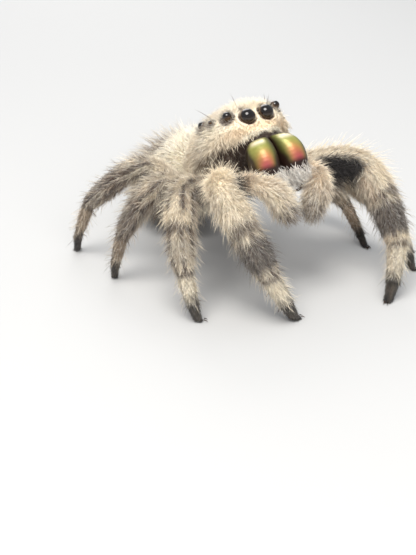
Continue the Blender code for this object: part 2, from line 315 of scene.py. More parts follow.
def locate(points, nodes):
    # where each point lies: which part of the body, and its place along and round it
    count = len(points)
    limbOf = nodeLimb[nodes]
    where = {"point": points, "limb": limbOf, "segment": nodeSegment[nodes], "number": limbNumber[limbOf],
             "share": np.zeros(count), "reach": np.zeros(count), "angle": np.zeros(count),
             "head": toHead(points), "abdomen": toAbdomen(points),
             "onHead": nodes == 0, "onAbdomen": nodes == 1, "onBare": nodes >= len(fleshNodes)}
    where["onLeg"] = where["number"] > 0
    where["onPalp"] = (limbOf >= 0) & ~where["onLeg"]
    where["flow"] = np.where(where["onAbdomen"][:, None], abdomenTurn[1], -headTurn[1])
    for index, limb in enumerate(limbs):
        here = np.flatnonzero(limbOf == index)
        if not len(here):
            continue
        starts, runs = limb["line"][:-1], np.diff(limb["line"], axis=0)
        offset = points[here][:, None] - starts
        t = held(dot(offset, runs) / dot(runs, runs))
        apart = sizeOf(offset - t[..., None] * runs)
        # only the stretches of this point's own segment and one on either side
        owner = np.arange(len(runs)) // stretches
        apart[np.abs(owner[None] - where["segment"][here][:, None]) > 1] = np.inf
        pick = apart.argmin(1)
        t = t[np.arange(len(here)), pick]
        heading, front = (unit(limb[key][pick] * (1 - t)[:, None] + limb[key][pick + 1] * t[:, None])
                          for key in ("heading", "front"))
        marks, segment = limb["marks"], pick // stretches
        ends = marks[::stretches]
        reach = marks[pick] + (marks[pick + 1] - marks[pick]) * t
        away = points[here] - (starts[pick] + runs[pick] * t[:, None])
        where["segment"][here] = segment
        where["share"][here] = (reach - ends[segment]) / (ends[segment + 1] - ends[segment])
        where["reach"][here] = reach
        top = np.cross(front, heading) * limb["sign"]
        where["angle"][here] = np.arctan2(dot(away, front), dot(away, top))
        where["flow"][here] = heading
    where["along"] = where["segment"] + where["share"]
    where["onFoot"] = where["onLeg"] & (where["segment"] == 4)
    return where


def byKind(where, values):
    # one value for each place, from those for head, abdomen, legs, feet and palps
    made = np.full(len(where["point"]), float(values[0]))
    for key, value in zip(("onAbdomen", "onLeg", "onFoot", "onPalp"), values[1:]):
        made[where[key]] = value
    return made


# Skin: one surface round all the flesh

skinShape = {
    "voxel": 0.085,  # mm
    "relaxing": 14,
    "coreInset": 0.07,  # how far the flesh lies inside eyes and jaws
    "depth": (0.05, 0.14, 0.10, 0.09, 0.09),  # of the coat over head, abdomen, legs, feet and palps, mm
    "outerDepth": 0.05,  # more on the outer segments of the legs
    "spreading": 8,  # times the depth is evened out
    "lidRise": 0.028, "lidGroove": 0.07,  # a low rim round each eye, and a groove between rim and lens
    "lid": (0.12, 0.05), "groove": (0.02, 0.09),  # mm from the lens
}


def joinedFlesh():
    work = bmesh.new()
    owner = []

    def add(points, faces, index):
        corners = [work.verts.new(p) for p in points]
        for face in faces:
            try:
                work.faces.new([corners[i] for i in face])
                owner.append(index)
            except ValueError:
                pass

    for index, name in enumerate(sourceNodes):
        points, faces = nodeMesh(name)
        if name in bareNodes:
            centre = points.mean(0)
            reach = sizeOf(points - centre).mean()
            points = centre + (points - centre) * (1 - skinShape["coreInset"] / reach)
        add(points, faces, index)
    pairs = [("cephalothorax", "abdomen")]
    for limb in limbs:
        pairs += list(zip(["cephalothorax", *limb["nodes"]], limb["nodes"]))
    for a, b in pairs:
        # a plug closes the cut between two neighbours
        plug = bmesh.new()
        for p in contact(a, b):
            plug.verts.new(p)
        bmesh.ops.remove_doubles(plug, verts=plug.verts, dist=0.004)
        bmesh.ops.convex_hull(plug, input=plug.verts)
        bmesh.ops.triangulate(plug, faces=plug.faces)
        plug.verts.index_update()
        add([v.co.copy() for v in plug.verts],
            [[v.index for v in face.verts] for face in plug.faces], sourceNodes.index(b))
        plug.free()
    work.faces.index_update()
    mesh = bpy.data.meshes.new("flesh")
    work.to_mesh(mesh)
    tree = BVHTree.FromBMesh(work)
    work.free()
    return mesh, tree, np.array(owner)


def remeshed(mesh, voxel):
    # the outside of a mesh as one even closed surface
    item = placed("remeshing", mesh)
    modifier = item.modifiers.new("remesh", "REMESH")
    modifier.mode = "VOXEL"
    modifier.voxel_size = voxel
    graph = bpy.context.evaluated_depsgraph_get()
    made = bpy.data.meshes.new_from_object(item.evaluated_get(graph))
    bpy.data.objects.remove(item)
    bpy.data.meshes.remove(mesh)
    return made


def neighbourMean(values, edges):
    count = len(values)
    total = np.zeros(values.shape)
    number = np.bincount(edges.ravel(), minlength=count)[:, None]
    for k in range(values.shape[1]):
        for a, b in (edges.T, edges[:, ::-1].T):
            total[:, k] += np.bincount(a, values[b, k], count)
    return total / np.maximum(number, 1)


def relaxed(points, edges, times):
    # evens out the surface and keeps its girth
    for turn in range(times):
        for share in (0.5, -0.53):
            points = points + (neighbourMean(points, edges) - points) * share
    return points


fleshMesh, fleshTree, fleshOwner = joinedFlesh()
skinMesh = remeshed(fleshMesh, skinShape["voxel"])
skinPoints, skinEdges = arraysOf(skinMesh)
skinPoints = relaxed(skinPoints, skinEdges, skinShape["relaxing"])
movePoints(skinMesh, skinPoints)
report(f"skin remeshed, {len(skinPoints)} points, {len(skinMesh.polygons)} faces")
skinNodes = np.array([fleshOwner[fleshTree.find_nearest(Vector(p))[2]] for p in skinPoints])
skinWhere = locate(skinPoints, skinNodes)
jawTrees = [nodeTree(f"{side}_chelicera") for side in sides]
eyeBalls = []
for side in sides:
    for eye in eyeNames:
        name = f"{side}_{eye}_eye"
        low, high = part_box(name)
        eyeBalls.append({"name": name, "eye": eye, "side": side, "centre": middleOf(name),
                         "radius": max(high - low) / 2 / mm})
sideEyes = np.array([ball["eye"] != "front_middle" for ball in eyeBalls])


def jawGap(points, most=1.2, headReach=4.5):
    # distance to the nearer jaw, for points on or near the head
    gap = np.full(len(points), most)
    near = np.flatnonzero(sizeOf(points - headOrigin) < headReach)
    for tree in jawTrees:
        for k in near:
            found = tree.find_nearest(Vector(points[k]), gap[k])
            if found[0] is not None:
                gap[k] = found[3]
    return gap


def eyeGap(points):
    # distance to the nearest eye's surface, and which eye
    gaps = np.array([sizeOf(points - ball["centre"]) - ball["radius"] for ball in eyeBalls])
    return gaps.min(0), gaps.argmin(0)


skinWhere["jawGap"] = jawGap(skinPoints)
skinWhere["eyeGap"], skinWhere["eye"] = eyeGap(skinPoints)


def coatDepth(where):
    depth = byKind(where, skinShape["depth"])
    leg = where["onLeg"] & ~where["onFoot"]
    depth += skinShape["outerDepth"] * leg * smooth(where["along"], 2.4, 3.4)
    depth[where["onBare"]] = 0
    return depth * (smooth(where["eyeGap"], 0.02, 0.22) * smooth(where["jawGap"], 0.05, 0.3))


depth = coatDepth(skinWhere)[:, None]
for turn in range(skinShape["spreading"]):
    depth = neighbourMean(depth, skinEdges)
lid = skinShape["lidRise"] * hump(skinWhere["eyeGap"], *skinShape["lid"])
lid -= skinShape["lidGroove"] * (1 - smooth(skinWhere["eyeGap"], *skinShape["groove"]))
skinPoints = skinPoints + normalsOf(skinMesh) * (lid[:, None] - depth)
movePoints(skinMesh, skinPoints)
skinNormals = normalsOf(skinMesh)
skinWhere["normal"], skinWhere["point"] = skinNormals, skinPoints
report("skin fitted under the coat")


# Colours and markings, shared by skin and coat

palette = {
    "cream": (0.86, 0.71, 0.50),
    "pale": (0.92, 0.84, 0.68),
    "peach": (0.84, 0.54, 0.30),
    "tan": (0.42, 0.30, 0.20),
    "grey": (0.20, 0.17, 0.145),
    "brown": (0.075, 0.043, 0.028),
    "black": (0.010, 0.008, 0.008),
    "white": (0.95, 0.93, 0.88),
    "deepBrown": (0.034, 0.019, 0.013),
}
markShape = {
    "blotches": (0.9, 0.42), "flecks": 0.16,  # mm
    "sideEyeRing": (0.12, 0.24), "middleEyeRing": (0.06, 0.11),  # mm from the lens
    "rim": (0.33, 0.10), "bareAndShadeArch": (0.15, 0.21),  # mm from the jaws
    "bandEnd": (0.9, 1.7), "chevronStep": 1.30, "stripeStep": 1.6,  # mm back along the abdomen
    # shares of a segment along which each tone comes in or goes
    "patch": (0.40, 0.54), "patchEnd": (0.15, 0.42),  # black, from the femur to the patella of legs 1
    "dusk": (0.06, 0.30), "duskEnd": (0.68, 0.88),  # grey on the tibia
    "ankle": (0.55, 0.98), "palpTip": (0.42, 0.80),
    "rearBrown": 0.68,  # legs 3 and 4
}


def plain(name, count, tones=palette):
    return np.tile(np.array(tones[name]), (count, 1))


def toned(colour, name, share):
    return mix(colour, palette[name], share)


def layered(ground, count, layers, tones=palette):
    # a ground colour, and over it each layer's tone by its share at every place
    colour = plain(ground, count, tones)
    for name, share in layers:
        colour = mix(colour, tones[name], share)
    return colour


def bareShare(where):
    # dark bare skin over and beside the jaws, partly painted shade: a narrow arch in front, where the face's
    # lower edge shades the jaws, wider low on the cheeks, where shade falls beside them
    left, forward, up = where["head"].T
    arch = 1 - smooth(where["jawGap"], *markShape["bareAndShadeArch"])
    ragged = 0.25 * speckle(where["point"], 0.22)
    # painted shade low on the cheeks, beside the jaws
    cheek = smooth(-up - 0.12 * np.abs(left) + 0.5 * ragged, 0.82, 0.97)
    return held(arch + cheek * smooth(forward + ragged, -1.7, -1.15)) * where["onHead"]


def headColour(where, blotch, fleck):
    # cream, warmer under the front eyes, mottled brown low on the cheeks and behind, in part painted shade on
    # the lower sides
    forward, up = where["head"].T[1:]
    # darker lower down the sides: mottled brown and tan, in part painted shade
    low = smooth(-up + 0.35 * blotch + 0.2 * fleck - 0.18 * held(-forward - 1, 3), 0.72, 1.35)
    side = smooth(-up, 0.1, 0.8) * smooth(-forward, 0.1, 0.9) * held(0.5 + blotch)
    crown = smooth(-forward, 1.6, 2.7) * (0.30 + 0.5 * blotch)
    crown = crown + hump(forward, -1.1, 0.5) * hump(up, 0.6, 0.3) * 0.3
    rings = [1 - smooth(where["eyeGap"], *markShape[key]) for key in ("sideEyeRing", "middleEyeRing")]
    bare = bareShare(where)
    return layered("cream", len(up), (
        ("pale", held(0.45 + 0.5 * blotch)),
        ("peach", 0.42 * (hump(up, -0.58, 0.26) * smooth(forward, -0.9, -0.2))),
        ("tan", 0.42 * side),
        ("brown", held(low * smooth(-forward, 0.1, 0.6) * 0.94)),
        ("tan", 0.20 * smooth(up, 0.25, 0.5) * smooth(blotch, -0.4, 0.3)),
        ("tan", held(crown, 0.8)),
        # dark hairs round each side eye, and dark skin close to all of them
        ("brown", held(np.where(sideEyes[where["eye"]], *rings) * 1.1)),
        # a pale rim on the face's lower edge, and dark bare skin by the jaws, partly painted shade
        ("pale", hump(where["jawGap"], *markShape["rim"])),
        ("deepBrown", bare),
        ("grey", bare * held(0.8 * speckle(where["point"], 0.1) - 0.1, 0.6))))


def abdomenColour(where, blotch, fleck):
    # bright cream band in front, mottled brown behind, pale chevrons along the middle
    left, back, up = where["abdomen"].T
    out = np.abs(left)
    chevronStep, stripeStep = markShape["chevronStep"], markShape["stripeStep"]
    band = 1 - smooth(back + 0.5 * cloud(where["point"], 0.8), *markShape["bandEnd"])
    chevron = hump((back + out * 0.8) % chevronStep, chevronStep / 2, 0.24) * (1 - smooth(out, 0.8, 1.25))
    stripe = hump((back + 0.8 * up + 0.3 * blotch) % stripeStep, stripeStep / 2, 0.28) * smooth(out, 1.2, 1.7)
    light = held(band + chevron * smooth(up, 0.3, 1.0) + stripe * 0.7)
    return layered("brown", len(up), (
        ("tan", held(0.6 + 0.7 * blotch)),
        ("pale", light),
        ("cream", band * 0.35),
        ("brown", held(smooth(blotch, 0.0, 0.5) * (1 - light) * 0.9))))


def legColour(where, blotch, fleck):
    # cream with brown streaks, a black patch inside the front knees, dark rings at the joints, black feet;
    # painted shade on the sides and undersides and on the femora
    segment, share, angle, number = (where[key] for key in ("segment", "share", "angle", "number"))
    femur, patella, tibia, metatarsus, tarsus = (segment == k for k in range(5))
    first, turned = number == 1, np.abs(angle)
    behind = np.where(number >= 3, markShape["rearBrown"], 0.0) * smooth(where["along"], 0.4, 2.6)
    streak = hump(turned, 0.55, 0.20) + hump(turned, 1.45, 0.26)
    streak = streak * smooth(blotch + 0.3 * fleck, -0.5, 0.1) * np.where(segment <= 2, 1, 0.45)
    inner = smooth(hump((angle + 1.0) % (2 * math.pi), 3.5, 1.4), 0.25, 0.60) * first
    patch = femur * smooth(share, *markShape["patch"]) + patella * (1 - smooth(share, *markShape["patchEnd"]))
    dusk = tibia * smooth(share, *markShape["dusk"]) * (1 - smooth(share, *markShape["duskEnd"]))
    line = hump(share, 1.0, 0.08) * (segment >= 1) + hump(share, 0.0, 0.07) * (segment >= 2)
    return layered("cream", len(share), (
        ("pale", held(0.5 + 0.5 * blotch)),
        ("brown", held(behind * (1 + 0.8 * blotch), 0.8)),
        # tan mottles, and more tan on the sides and undersides as painted shade
        ("tan", held(0.12 + 0.5 * fleck + 0.35 * blotch + 0.45 * smooth(turned, 0.9, 2.2), 0.8)),
        ("brown", held(streak * np.where(first & (segment <= 1), 0.2, 1), 0.95)),
        # grey femora on legs 2 to 4 and grey under every femur: painted shade
        ("grey", femur * (0.38 * ~first + 0.4 * smooth(turned, 1.0, 2.2))),
        ("black", patch * inner),
        ("grey", dusk * np.where(first, 0.85, np.where(number == 2, 0.45, 0.30))),
        ("deepBrown", dusk * first * 0.6),
        ("tan", metatarsus * (number > 2) * 0.5),
        ("pale", metatarsus * (number <= 2) * 0.45),
        # thin dark lines where the joints show, and a dark end above the foot
        ("brown", held(line * 0.75)),
        ("black", metatarsus * smooth(share + 0.15 * fleck, *markShape["ankle"]) * 0.85),
        ("black", tarsus * held(0.93 - 0.08 * fleck))))


def palpColour(where, blotch, fleck):
    # cream, brown at the tips
    tip = where["share"] + 0.15 * fleck + 0.2 * blotch
    return layered("cream", len(blotch), (
        ("pale", held(0.5 + 0.5 * blotch)),
        ("peach", held(0.12 + 0.4 * blotch)),
        ("tan", held(0.38 + 0.6 * cloud(where["point"], 0.35), 0.8)),
        ("brown", (where["segment"] == 1) * smooth(tip, *markShape["palpTip"]) * 0.85)))


def markings(where):
    # the colour of the coat at each place
    coarse, fine = (cloud(where["point"], grain) for grain in markShape["blotches"])
    blotch = coarse * 0.6 + fine * 0.4
    fleck = speckle(where["point"], markShape["flecks"])
    colour = headColour(where, blotch, fleck)
    for part, colourOf in (("onAbdomen", abdomenColour), ("onLeg", legColour), ("onPalp", palpColour)):
        colour = np.where(where[part][:, None], colourOf(where, blotch, fleck), colour)
    return toned(colour, "black", where["onBare"]) * (1 + 0.10 * fleck)[:, None]


# Finishes: fine grain breaks up the colour, and sets gloss and relief

def setSockets(node, values):
    for name, value in values.items():
        node.inputs[name].default_value = value


def newMaterial(name, gloss):
    made = bpy.data.materials.new(name)
    made.use_nodes = True
    shader = made.node_tree.nodes["Principled BSDF"]
    setSockets(shader, gloss)
    return made, made.node_tree.nodes, made.node_tree.links, shader


def grainNoise(nodes, links, scale, detail):
    place = nodes.new("ShaderNodeTexCoord")
    grain = nodes.new("ShaderNodeTexNoise")
    setSockets(grain, {"Scale": scale, "Detail": detail})
    links.new(place.outputs["Object"], grain.inputs["Vector"])
    return grain.outputs["Fac"]


def tintMaterial(name, look):
    # the colour comes from the tint attribute
    made, nodes, links, shader = newMaterial(name, look["gloss"])
    grain = grainNoise(nodes, links, look["grain"], look["detail"])

    def ranged(low, high):
        node = nodes.new("ShaderNodeMapRange")
        setSockets(node, {"To Min": low, "To Max": high})
        links.new(grain, node.inputs["Value"])
        return node.outputs["Result"]

    tint = nodes.new("ShaderNodeAttribute")
    tint.attribute_name = "tint"
    shaded = nodes.new("ShaderNodeVectorMath")
    shaded.operation = "MULTIPLY"
    links.new(tint.outputs["Color"], shaded.inputs[0])
    links.new(ranged(1 - look["variation"], 1 + look["variation"]), shaded.inputs[1])
    links.new(shaded.outputs["Vector"], shader.inputs["Base Color"])
    if "rough" in look:
        links.new(ranged(*look["rough"]), shader.inputs["Roughness"])
    if "relief" in look:
        relief = nodes.new("ShaderNodeBump")
        setSockets(relief, {"Strength": look["relief"][0], "Distance": look["relief"][1] * mm})
        links.new(grain, relief.inputs["Height"])
        links.new(relief.outputs["Normal"], shader.inputs["Normal"])
    return made


skinLook = {"grain": 14000, "detail": 3, "variation": 0.25, "rough": (0.60, 0.84), "relief": (0.6, 0.03),
            "gloss": {"Sheen Weight": 0.1, "Specular IOR Level": 0.4}}
coatLook = {"grain": 2500, "detail": 3, "variation": 0.15, "rough": (0.50, 0.74),
            "gloss": {"Sheen Weight": 0.15, "Specular IOR Level": 0.35}}
skinFinish = tintMaterial("skin", skinLook)
coatFinish = tintMaterial("coat", coatLook)


def addPiece(name, mesh, finish, replaced=()):
    item = placed(name, mesh)
    mesh.materials.clear()
    mesh.materials.append(finish)
    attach(item, "root")
    if replaced:
        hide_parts(*replaced)


def paint(mesh, colours):
    attribute = mesh.attributes.get("tint") or mesh.attributes.new("tint", "FLOAT_COLOR", "POINT")
    values = np.ones((len(colours), 4), np.float32)
    values[:, :3] = held(colours)
    attribute.data.foreach_set("color", values.ravel())


skinColour = markings(skinWhere) * 0.85
paint(skinMesh, skinColour)
skinMesh.transform(Matrix.Scale(mm, 4))
skinMesh.shade_smooth()
skinMesh.name = "skin"
addPiece("skin", skinMesh, skinFinish, fleshNodes)
report("skin painted")


# Coat: closed thin tufts over the skin

coatShape = {
    "seed": 21,
    "sink": 0.02,  # mm that each root goes into the skin
    "floorGap": 0.012,
    "waver": {"length": 0.28, "width": 0.2, "lift": 0.3, "tone": 0.16},  # from tuft to tuft
    "backFrom": -2.3,  # where the face's piece ends, mm forward of the front eyes
    "scaleBend": 0.42,  # share of a scale's length at which it bends
    "scaleKeel": 0.9, "hairKeel": 1.2,  # thickness beside half the width
    "hairTaper": 0.55,
    "eyeMargin": (0.03, 0.09),  # mm from the eyes over which the coat begins
    "farJaw": 0.45, "farBare": 0.75,  # mm from the jaws beyond which the dark skin, partly painted shade, is only partly clear
}
draw = np.random.default_rng(coatShape["seed"])
skinMesh.calc_loop_triangles()
triangles = readArray(skinMesh.loop_triangles, "vertices", 3, np.int32)
cornersAt = skinPoints[triangles]
areas = sizeOf(np.cross(cornersAt[:, 1] - cornersAt[:, 0], cornersAt[:, 2] - cornersAt[:, 0])) / 2


def scatter(perArea):
    # roots spread over the skin, as many to a square mm as perArea gives at each skin point
    wanted = perArea[triangles].mean(1) * areas
    number = np.floor(wanted + draw.random(len(wanted))).astype(int)
    pick = np.repeat(np.arange(len(triangles)), number)
    a, b = draw.random((2, len(pick)))
    over = a + b > 1
    a[over], b[over] = 1 - a[over], 1 - b[over]
    weights = np.stack([1 - a - b, a, b], 1)
    corners = triangles[pick]
    nearest = corners[np.arange(len(pick)), weights.argmax(1)]
    where = locate((skinPoints[corners] * weights[..., None]).sum(1), skinNodes[nearest])
    where["normal"] = unit((skinNormals[corners] * weights[..., None]).sum(1))
    for key in ("jawGap", "eyeGap"):
        where[key] = (skinWhere[key][corners] * weights).sum(1)
    where["eye"] = skinWhere["eye"][nearest]
    return where


def octahedral(direction):
    # a sphere of directions opened out onto a square
    d = direction / np.abs(direction).sum(1, keepdims=True)
    flat = d[:, :2]
    folded = (1 - np.abs(flat[:, ::-1])) * np.where(flat < 0, -1, 1)
    return np.where(d[:, 2:] < 0, folded, flat) * 0.5 + 0.5


def unwrapped(where):
    # each root's place on an unwrap of its own part of the skin
    around = where["angle"] / (2 * math.pi) + 0.5
    spot = np.stack([around, where["reach"] / limbLength[where["limb"]]], 1) * (where["limb"] >= 0)[:, None]
    head, rear, foot, palp = (where[key] for key in ("onHead", "onAbdomen", "onFoot", "onPalp"))
    spot[head] = octahedral(where["head"][head] + [0, 1.8, 1.2])
    spot[rear] = octahedral(where["abdomen"][rear] - [0, 2.8, 1.0])
    spot[foot, 0] = (where["limb"][foot] + 0.05 + 0.9 * around[foot]) / len(legs)
    spot[foot, 1] = where["share"][foot]
    spot[palp, 0] = (where["limb"][palp] - len(legs) + 0.05 + 0.9 * around[palp]) / 2
    return 0.01 + 0.98 * held(spot)


def tuftFaces(rings):
    # one ring makes a flat scale, and two or three a hair
    if rings == 1:
        return np.array([[0, 1, 2], [0, 3, 1], [0, 2, 3], [1, 3, 2]])
    faces = [[0, 2, 1]]
    for ring in range(rings - 1):
        for a, b in ringPairs(ring * 3, 3):
            faces += [[a, b, b + 3], [a, b + 3, a + 3]]
    last = (rings - 1) * 3
    return np.array(faces + [[a, b, last + 3] for a, b in ringPairs(last, 3)])


def tuftSolids(where, style):
    # points, colours and map places of every tuft, all of one ring count
    rings, normal, waver = style["rings"], where["normal"], coatShape["waver"]
    count = len(normal)

    def varied(key):
        return draw.uniform(1 - waver[key], 1 + waver[key], count)

    flow = unit(style["flow"] - normal * dot(style["flow"], normal)[:, None])
    swirl = draw.normal(0, style["stray"], count)
    flow = flow * np.cos(swirl)[:, None] + np.cross(normal, flow) * np.sin(swirl)[:, None]
    aside = np.cross(normal, flow)
    lift = np.radians(style["lift"]) * varied("lift")
    length = style["length"] * varied("length")
    half = style["width"] * varied("width") / 2
    start = where["point"] - normal * coatShape["sink"]

    def tilted(angle):
        return flow * np.cos(angle)[:, None] + normal * np.sin(angle)[:, None]

    if rings == 1:
        bend, keel = coatShape["scaleBend"], coatShape["scaleKeel"]
        tall, across = np.array([0, 0, bend, 1]), np.array([-1, 1, 0, 0])
        along, half = tilted(lift), half[:, None]
        points = [start - aside * half, start + aside * half,
                  start + along * (length * bend)[:, None] - np.cross(along, aside) * half * keel,
                  start + along * length[:, None]]
    else:
        tall = np.append(np.repeat(np.arange(rings) / rings, 3), 1)
        across = np.append(np.tile([-1, 1, 0], rings), 0)
        place, points = start, []
        side = draw.normal(0, style["curl"], count)
        for ring in range(rings):
            along = tilted(lift - np.radians(style["droop"]) * ring / rings)
            along = unit(along + aside * (side * ring / rings)[:, None])
            thick = (half * (1 - coatShape["hairTaper"] * ring / rings))[:, None]
            points += [place - aside * thick, place + aside * thick,
                       place - np.cross(along, aside) * thick * coatShape["hairKeel"]]
            place = place + along * (length / rings)[:, None]
        points.append(place)
    rise = tall[None, :, None]
    colours = style["rootColour"][:, None] * (1 - rise) + style["tipColour"][:, None] * rise
    colours = colours * varied("tone")[:, None, None]
    spots = unwrapped(where)[:, None] + np.stack([across * 0.0015, (tall - 0.5) * 0.003], 1)[None]
    return np.stack(points, 1), colours, spots


def coatMesh(name, batches):
    # one mesh from batches of (points, colours, spots, rings)
    made, base = [], 0
    for points, colours, spots, rings in batches:
        count, each = points.shape[:2]
        corners = tuftFaces(rings)[None] + (np.arange(count) * each)[:, None, None] + base
        made.append([part.reshape(-1, part.shape[-1]) for part in (points, colours, spots, corners)])
        base += count * each
    verts, tints, maps, faces = (np.concatenate(part) for part in zip(*made))
    mesh = bpy.data.meshes.new(name)
    mesh.vertices.add(len(verts))
    mesh.vertices.foreach_set("co", (verts * mm).astype(np.float32).ravel())
    mesh.loops.add(len(faces) * 3)
    mesh.loops.foreach_set("vertex_index", faces.astype(np.int32).ravel())
    mesh.polygons.add(len(faces))
    mesh.polygons.foreach_set("loop_start", np.arange(0, len(faces) * 3, 3, dtype=np.int32))
    mesh.polygons.foreach_set("loop_total", np.full(len(faces), 3, np.int32))
    mesh.update(calc_edges=True)
    mesh.shade_smooth()
    layer = mesh.uv_layers.new(name="OFBake")
    layer.uv.foreach_set("vector", maps[faces.ravel()].astype(np.float32).ravel())
    paint(mesh, tints)
    return mesh, len(faces)


def coatFlow(where):
    # the lie of the coat: back and down over the head, forward below the eyes, along abdomen and limbs
    left, forward, up = where["head"].T
    down = -headTurn[2]
    below = smooth(-up, 0.1, 0.9) * smooth(forward, -1.6, -0.5)
    toward = down * 0.9 + headTurn[1] * 0.35 + headTurn[0] * np.sign(left)[:, None] * 0.25
    flow = where["flow"] + down * 0.5 * (1 - smooth(up, -0.6, 0.8))[:, None]
    flow = flow * (1 - below)[:, None] + toward * below[:, None]
    flow = np.where(where["onHead"][:, None], flow, where["flow"])
    left, back, up = where["abdomen"].T
    outwards, upwards = abdomenTurn[0], abdomenTurn[2]
    fall = outwards * (left * 0.25)[:, None] - upwards * smooth(np.abs(left), 0.6, 2.4)[:, None] * 0.5
    rise = upwards * (0.9 * (1 - smooth(back, -0.4, 0.8)))[:, None]
    return np.where(where["onAbdomen"][:, None], flow + fall + rise, flow)


def coverage(where):
    # how much of the coat grows here, from 0 on eyes, jaws and the bare margin (whose dark is partly painted
    # shade) to 1
    margin = np.where(where["onHead"], smooth(where["eyeGap"], *coatShape["eyeMargin"]), 1)
    clear = np.where(where["jawGap"] > coatShape["farJaw"], coatShape["farBare"], 1.0)
    return (~where["onBare"]) * margin * (1 - bareShare(where) * clear)


skinCover = coverage(skinWhere)
batches = {}


def pieceOf(where):
    names = np.where(where["head"][:, 1] > coatShape["backFrom"], "coat_face", "coat_back").astype("<U24")
    for side, sign in zip(sides, (1, -1)):
        names[where["onAbdomen"] & (where["abdomen"][:, 0] * sign >= 0)] = f"coat_abdomen_{side}"
    names[where["onPalp"]] = "coat_palps"
    for index, limb in enumerate(legs):
        names[where["limb"] == index] = "coat_" + limb["name"]
    names[where["onFoot"]] = "coat_feet"
    return names


def plant(where, makeStyle, names):
    # styles tufts and files them under their pieces, apart from any that would reach the floor
    style = makeStyle(where)
    points, colours, spots = tuftSolids(where, style)
    clear = points[:, :, 2].min(1) > coatShape["floorGap"]
    for name in np.unique(names):
        here = clear & (names == name)
        batches.setdefault(str(name), []).append((points[here], colours[here], spots[here], style["rings"]))
    return int(clear.sum())


def grow(perArea, makeStyle):
    where = scatter(perArea * skinCover)
    return plant(where, makeStyle, pieceOf(where))


# Each row of five is for head, abdomen, legs, feet and palps.
# Tufts are counted to a square mm, sizes are in mm and angles in degrees.
scaleShape = {
    "rings": 1, "stray": 0.24, "perArea": (400, 260, 300, 480, 320), "moreOnFace": 300,
    "length": (0.23, 0.28, 0.25, 0.14, 0.24), "width": (0.046, 0.050, 0.046, 0.040, 0.045),
    "lift": (13, 20, 20, 14, 24), "faceTrim": 0.08, "faceThin": 0.008,
}
shortShape = {
    "rings": 2, "stray": 0.32, "curl": 0.2, "perArea": (120, 140, 150, 260, 230), "lashes": 260, "brows": 240,
    "length": (0.34, 0.55, 0.46, 0.20, 0.50), "width": (0.020, 0.024, 0.022, 0.022, 0.022),
    "lift": (26, 34, 34, 24, 40), "droop": (14, 24, 22, 16, 26), "bleach": (0.3, 0.5, 0.3, 0.0, 0.5),
    "lashLift": 34, "faceTrim": 0.14, "outerTrim": 0.38,
}
longShape = {
    "rings": 3, "stray": 0.4, "curl": 0.3, "perArea": (40, 40, 34, 24, 100), "temples": 34, "darkFemur": 70,
    "length": (0.46, 1.15, 0.72, 0.22, 0.62), "width": (0.018, 0.020, 0.018, 0.020, 0.018),
    "lift": (38, 60, 48, 28, 46), "droop": (20, 30, 26, 20, 30),
    "paleTips": (0.7, 0.7, 0.65, 0.1, 0.8), "darkRoots": (0.2, 0.65, 0.1, 0.5, 0.1),
    "outerTrim": 0.15, "darkMore": 0.30, "kneeMore": 0.26, "bandTrim": 0.45, "bandFlat": 18,
}


def coatStyle(where, shape):
    # the size and lie of each tuft, before its special places
    style = {key: byKind(where, shape[key]) for key in ("length", "width", "lift", "droop") if key in shape}
    return {**style, "rings": shape["rings"], "stray": shape["stray"], "curl": shape.get("curl"),
            "flow": coatFlow(where)}


def faceShare(where, start=-1.6):
    return smooth(where["head"][:, 1], start, -0.4) * where["onHead"]


def scaleStyle(where):
    colour, style, face = markings(where), coatStyle(where, scaleShape), faceShare(where)
    style["length"] = style["length"] - scaleShape["faceTrim"] * face
    style["width"] = style["width"] - scaleShape["faceThin"] * face
    return {**style, "rootColour": colour * 0.86, "tipColour": colour * 1.12}


skinFace = faceShare(skinWhere, -1.4)
scales = grow(byKind(skinWhere, scaleShape["perArea"]) + scaleShape["moreOnFace"] * skinFace, scaleStyle)
report(f"{scales} scales")


def outerTrim(where, share):
    # the coat is shorter on the outer segments of the legs
    return 1 - share * (where["onLeg"] & ~where["onFoot"]) * smooth(where["along"], 1.6, 3.4)


def lashShare(where):
    # hairs that stand in a ring round each side eye
    return sideEyes[where["eye"]] * (1 - smooth(where["eyeGap"], 0.14, 0.30)) * where["onHead"]


def browShare(where):
    # hairs that stand over the front middle eyes
    forward, up = where["head"].T[1:]
    return smooth(up, 0.22, 0.42) * smooth(forward, -1.5, -0.7) * where["onHead"]


def shortStyle(where):
    colour, style = markings(where), coatStyle(where, shortShape)
    lash, brow = lashShare(where), browShare(where)
    bleached = byKind(where, shortShape["bleach"]) * draw.random(len(colour))
    colour = toned(colour, "white", bleached * smooth(colour.mean(1), 0.02, 0.12))
    trimmed = style["length"] - shortShape["faceTrim"] * faceShare(where) * (1 - brow)
    style["length"] = trimmed * outerTrim(where, shortShape["outerTrim"])
    style["lift"] = style["lift"] + shortShape["lashLift"] * np.maximum(lash, brow)
    return {**style, "rootColour": colour * 0.85, "tipColour": toned(colour * 1.15, "pale", 0.5 * lash)}


perArea = byKind(skinWhere, shortShape["perArea"]) + shortShape["lashes"] * lashShare(skinWhere)
hairs = grow(perArea + shortShape["brows"] * browShare(skinWhere), shortStyle)
report(f"{hairs} short hairs")


def paleBand(where):
    return where["onAbdomen"] * (1 - smooth(where["abdomen"][:, 1], 0.7, 1.6))


def kneeTuft(where):
    # the front legs' knees are shaggier on top
    onTop = smooth(-np.abs(where["angle"]), -1.6, -0.6)
    return where["onLeg"] * (where["number"] == 1) * hump(where["along"], 1.1, 0.5) * onTop


def darkKnee(where, colour):
    return where["onLeg"] & (where["segment"] < 2) & (colour.mean(1) < 0.05)


